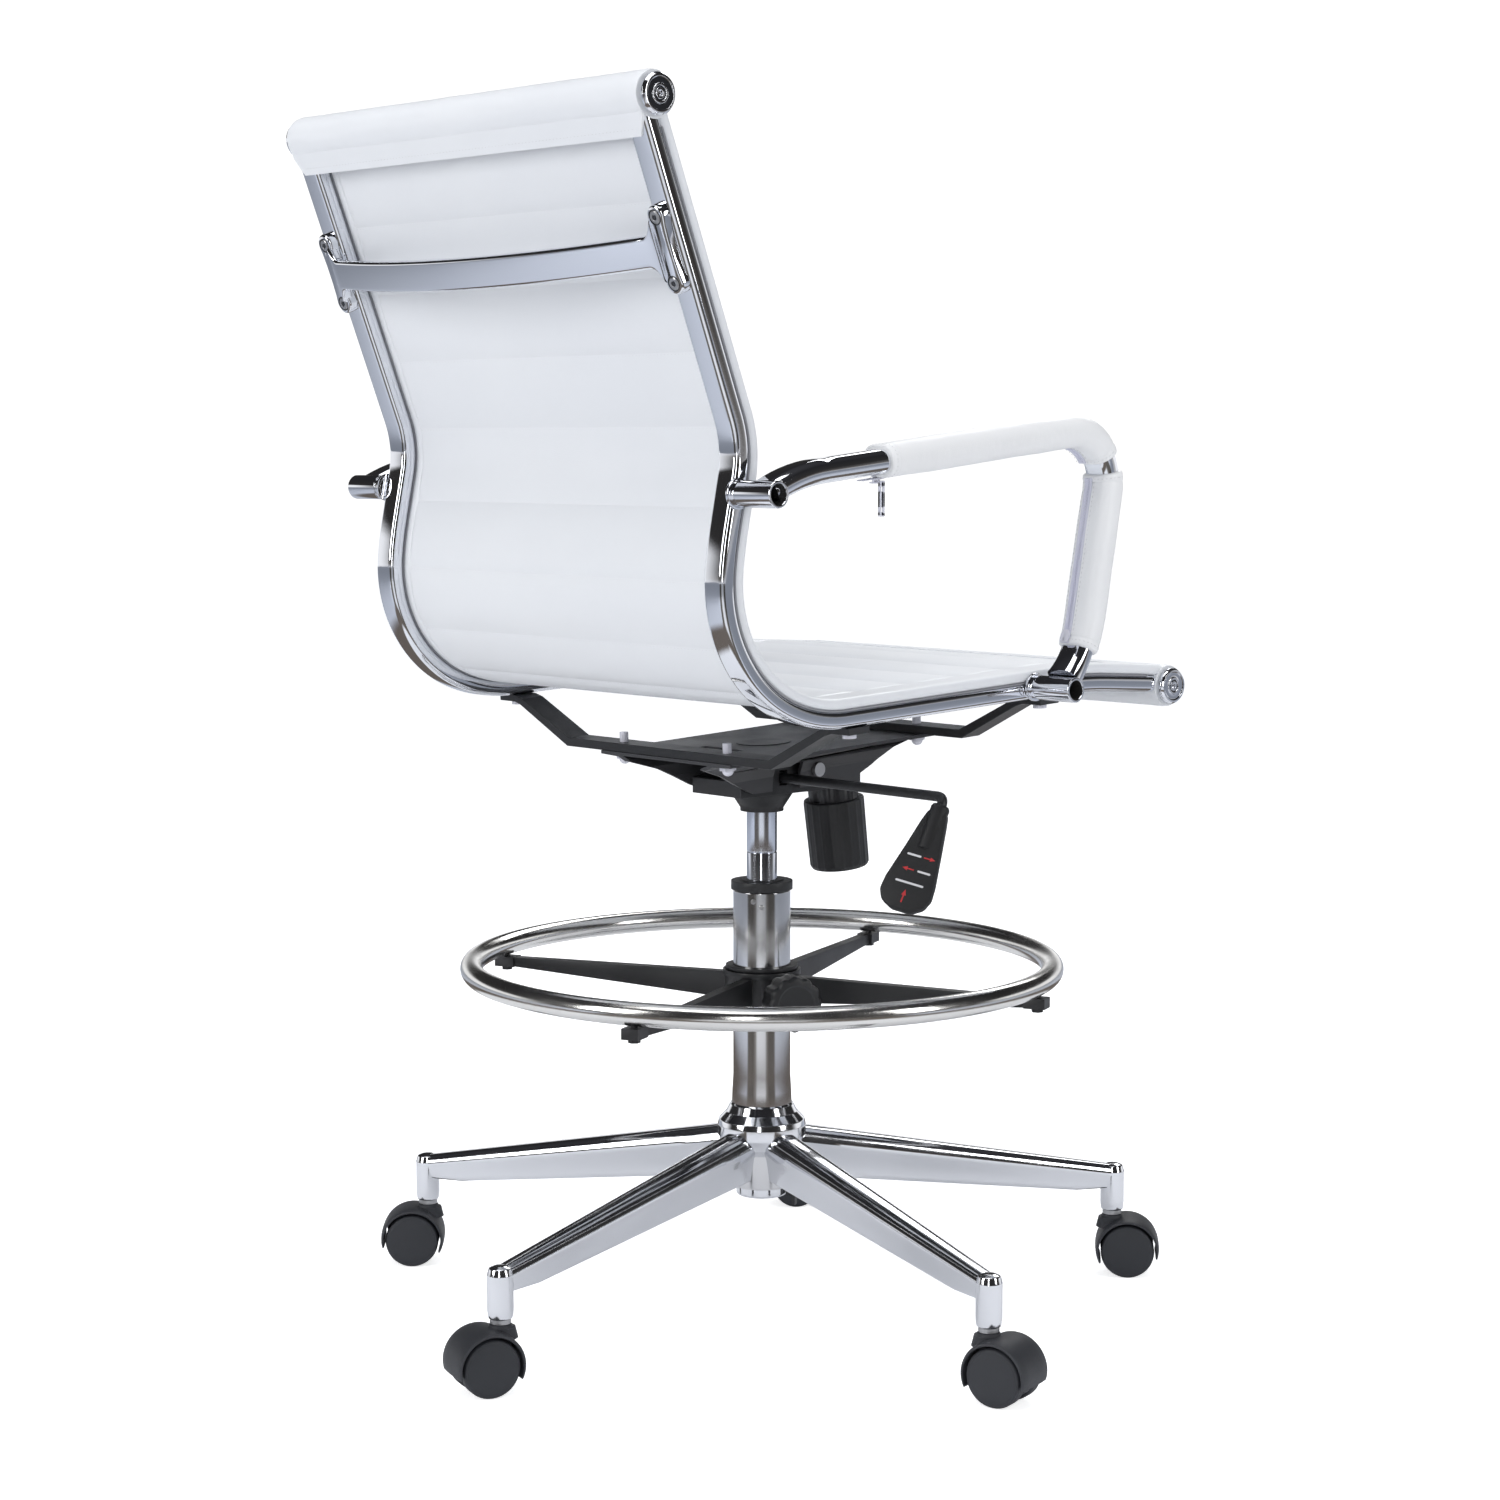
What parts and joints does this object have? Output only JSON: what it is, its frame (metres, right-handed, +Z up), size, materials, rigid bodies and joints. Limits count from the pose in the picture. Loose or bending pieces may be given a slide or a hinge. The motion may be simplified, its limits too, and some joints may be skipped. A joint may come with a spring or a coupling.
{
  "type": "drafting chair",
  "caption": "Tall drafting chair with a ribbed sling seat and back on bright tubular rails, padded loop arms, a tilting gas-lift column, a clamped foot ring and a castored star base.",
  "frame": {"origin": "the floor point under the column axis", "axes": "+Z up, the chair faces -Y, the sitter's right hand is -X"},
  "size_m": [0.7425, 0.7399, 1.0828],
  "materials": {
    "chrome_steel": "polished",
    "chrome_base": "polished cast",
    "plain_steel": "satin",
    "zinc_pull": "plated",
    "black_plastic": "fine grain",
    "castor_plastic": "fine grain",
    "black_paint": "powder coat",
    "white_leatherette": "smooth"
  },
  "bodies": {
    "base": {"star_base": "chrome_base", "castor_stems": "plain_steel", "column_tube": "chrome_steel", "column_collar": "black_plastic"},
    "rod": {"gas_rod": "plain_steel", "rod_clip": "plain_steel"},
    "lift": {"gas_cylinder": "chrome_steel", "tilt_housing": "black_paint", "tilt_axle": "plain_steel"},
    "pin": {"release_pin": "plain_steel"},
    "seat": {"seat_plate": "black_paint", "tension_spring": "plain_steel", "rear_crossbar": "black_paint", "front_crossbar": "black_paint", "bar_bolts": "plain_steel", "rail_left": "chrome_steel", "rail_right": "chrome_steel", "top_bar": "chrome_steel", "front_bar": "chrome_steel", "end_caps": "chrome_steel", "frame_screws": "plain_steel", "back_brace": "chrome_steel", "seat_pad": "white_leatherette", "arm_left": "chrome_steel", "arm_right": "chrome_steel", "arm_sleeves_left": "white_leatherette", "arm_sleeves_right": "white_leatherette"},
    "tension": {"tension_knob": "black_plastic"},
    "bush": {"lever_bush": "black_plastic"},
    "lever": {"lever_rod": "black_paint", "lever_paddle": "black_plastic"},
    "ring_slider": {"ring_bush": "black_plastic"},
    "ring": {"foot_ring": "chrome_steel", "ring_spider": "black_paint", "ring_bolts": "black_paint", "ring_shoe": "plain_steel"},
    "ring_clamp": {"ring_knob": "black_plastic"},
    "zip_left": {"zip_pull_left": "zinc_pull"},
    "zip_right": {"zip_pull_right": "zinc_pull"},
    "castor_1": {"castor_hood_1": "castor_plastic", "castor_axle_1": "plain_steel"},
    "wheel_1a": {"castor_wheel_1a": "castor_plastic"},
    "wheel_1b": {"castor_wheel_1b": "castor_plastic"},
    "castor_2": {"castor_hood_2": "castor_plastic", "castor_axle_2": "plain_steel"},
    "wheel_2a": {"castor_wheel_2a": "castor_plastic"},
    "wheel_2b": {"castor_wheel_2b": "castor_plastic"},
    "castor_3": {"castor_hood_3": "castor_plastic", "castor_axle_3": "plain_steel"},
    "wheel_3a": {"castor_wheel_3a": "castor_plastic"},
    "wheel_3b": {"castor_wheel_3b": "castor_plastic"},
    "castor_4": {"castor_hood_4": "castor_plastic", "castor_axle_4": "plain_steel"},
    "wheel_4a": {"castor_wheel_4a": "castor_plastic"},
    "wheel_4b": {"castor_wheel_4b": "castor_plastic"},
    "castor_5": {"castor_hood_5": "castor_plastic", "castor_axle_5": "plain_steel"},
    "wheel_5a": {"castor_wheel_5a": "castor_plastic"},
    "wheel_5b": {"castor_wheel_5b": "castor_plastic"}
  },
  "joints": [
    {"name": "seat_swivel", "type": "hinge", "parent": "base", "child": "rod", "pos_m": [0, 0, 0.1], "axis": [0, 0, 1], "continuous": true},
    {"name": "seat_lift", "type": "slide", "parent": "rod", "child": "lift", "axis": [0, 0, 1], "range_m": [-0.055, 0.15]},
    {"name": "release_pin_press", "type": "slide", "parent": "lift", "child": "pin", "axis": [0, 0, -1], "range_m": [0, 0.0025], "stiffness_N_per_m": 1200, "springref_m": -0.002},
    {"name": "seat_tilt", "type": "hinge", "parent": "lift", "child": "seat", "pos_m": [0, -0.03, 0.5], "axis": [-1, 0, 0], "range_deg": [0, 12], "stiffness_Nm_per_rad": 260, "springref_deg": -14.32},
    {"name": "tension_knob_turn", "type": "hinge", "parent": "seat", "child": "tension", "pos_m": [0, -0.0925, 0.461], "axis": [0, 0.1336, 0.991], "range_deg": [-720, 720]},
    {"name": "lever_lift", "type": "hinge", "parent": "lift", "child": "bush", "pos_m": [-0.024, 0.004, 0.494], "axis": [0, 1, 0], "range_deg": [0, 5], "stiffness_Nm_per_rad": 6, "springref_deg": -6.88},
    {"name": "lever_pull", "type": "slide", "parent": "bush", "child": "lever", "axis": [-1, 0, 0], "range_m": [0, 0.01]},
    {"name": "ring_height", "type": "slide", "parent": "base", "child": "ring_slider", "axis": [0, 0, 1], "range_m": [-0.05, 0.04]},
    {"name": "ring_turn", "type": "hinge", "parent": "ring_slider", "child": "ring", "pos_m": [0, 0, 0.3], "axis": [0, 0, 1], "continuous": true},
    {"name": "ring_knob_turn", "type": "hinge", "parent": "ring", "child": "ring_clamp", "pos_m": [-0.05583, 0.02199, 0.294], "axis": [-0.9304, 0.3665, 0], "range_deg": [0, 360]},
    {"name": "zip_left_swing", "type": "hinge", "parent": "seat", "child": "zip_left", "pos_m": [0.266, 0.113, 0.7662], "axis": [1, 0, 0], "range_deg": [-60, 60]},
    {"name": "zip_right_swing", "type": "hinge", "parent": "seat", "child": "zip_right", "pos_m": [-0.266, 0.113, 0.7662], "axis": [1, 0, 0], "range_deg": [-60, 60]},
    {"name": "castor_1_swivel", "type": "hinge", "parent": "base", "child": "castor_1", "pos_m": [0.31386, 0.15376, 0.05], "axis": [0, 0, 1], "continuous": true},
    {"name": "wheel_1a_roll", "type": "hinge", "parent": "castor_1", "child": "wheel_1a", "pos_m": [0.3235, 0.16525, 0.0255], "axis": [-0.766, 0.6428, 0], "continuous": true},
    {"name": "wheel_1b_roll", "type": "hinge", "parent": "castor_1", "child": "wheel_1b", "pos_m": [0.3235, 0.16525, 0.0255], "axis": [-0.766, 0.6428, 0], "continuous": true},
    {"name": "castor_2_swivel", "type": "hinge", "parent": "base", "child": "castor_2", "pos_m": [-0.04924, 0.34601, 0.05], "axis": [0, 0, 1], "continuous": true},
    {"name": "wheel_2a_roll", "type": "hinge", "parent": "castor_2", "child": "wheel_2a", "pos_m": [-0.04498, 0.36039, 0.0255], "axis": [-0.9588, 0.284, 0], "continuous": true},
    {"name": "wheel_2b_roll", "type": "hinge", "parent": "castor_2", "child": "wheel_2b", "pos_m": [-0.04498, 0.36039, 0.0255], "axis": [-0.9588, 0.284, 0], "continuous": true},
    {"name": "castor_3_swivel", "type": "hinge", "parent": "base", "child": "castor_3", "pos_m": [-0.3443, 0.06009, 0.05], "axis": [0, 0, 1], "continuous": true},
    {"name": "wheel_3a_roll", "type": "hinge", "parent": "castor_3", "child": "wheel_3a", "pos_m": [-0.35889, 0.05659, 0.0255], "axis": [0.2334, -0.9724, 0], "continuous": true},
    {"name": "wheel_3b_roll", "type": "hinge", "parent": "castor_3", "child": "wheel_3b", "pos_m": [-0.35889, 0.05659, 0.0255], "axis": [0.2334, -0.9724, 0], "continuous": true},
    {"name": "castor_4_swivel", "type": "hinge", "parent": "base", "child": "castor_4", "pos_m": [-0.16354, -0.30888, 0.05], "axis": [0, 0, 1], "continuous": true},
    {"name": "wheel_4a_roll", "type": "hinge", "parent": "castor_4", "child": "wheel_4a", "pos_m": [-0.17477, -0.31882, 0.0255], "axis": [0.6626, -0.749, 0], "continuous": true},
    {"name": "wheel_4b_roll", "type": "hinge", "parent": "castor_4", "child": "wheel_4b", "pos_m": [-0.17477, -0.31882, 0.0255], "axis": [0.6626, -0.749, 0], "continuous": true},
    {"name": "castor_5_swivel", "type": "hinge", "parent": "base", "child": "castor_5", "pos_m": [0.24322, -0.25099, 0.05], "axis": [0, 0, 1], "continuous": true},
    {"name": "wheel_5a_roll", "type": "hinge", "parent": "castor_5", "child": "wheel_5a", "pos_m": [0.23572, -0.26398, 0.0255], "axis": [0.866, -0.5, 0], "continuous": true},
    {"name": "wheel_5b_roll", "type": "hinge", "parent": "castor_5", "child": "wheel_5b", "pos_m": [0.23572, -0.26398, 0.0255], "axis": [0.866, -0.5, 0], "continuous": true}
  ],
  "couplings": [
    {"joint": "release_pin_press", "follows": "lever_lift", "m_per_rad": 0.0286}
  ]
}
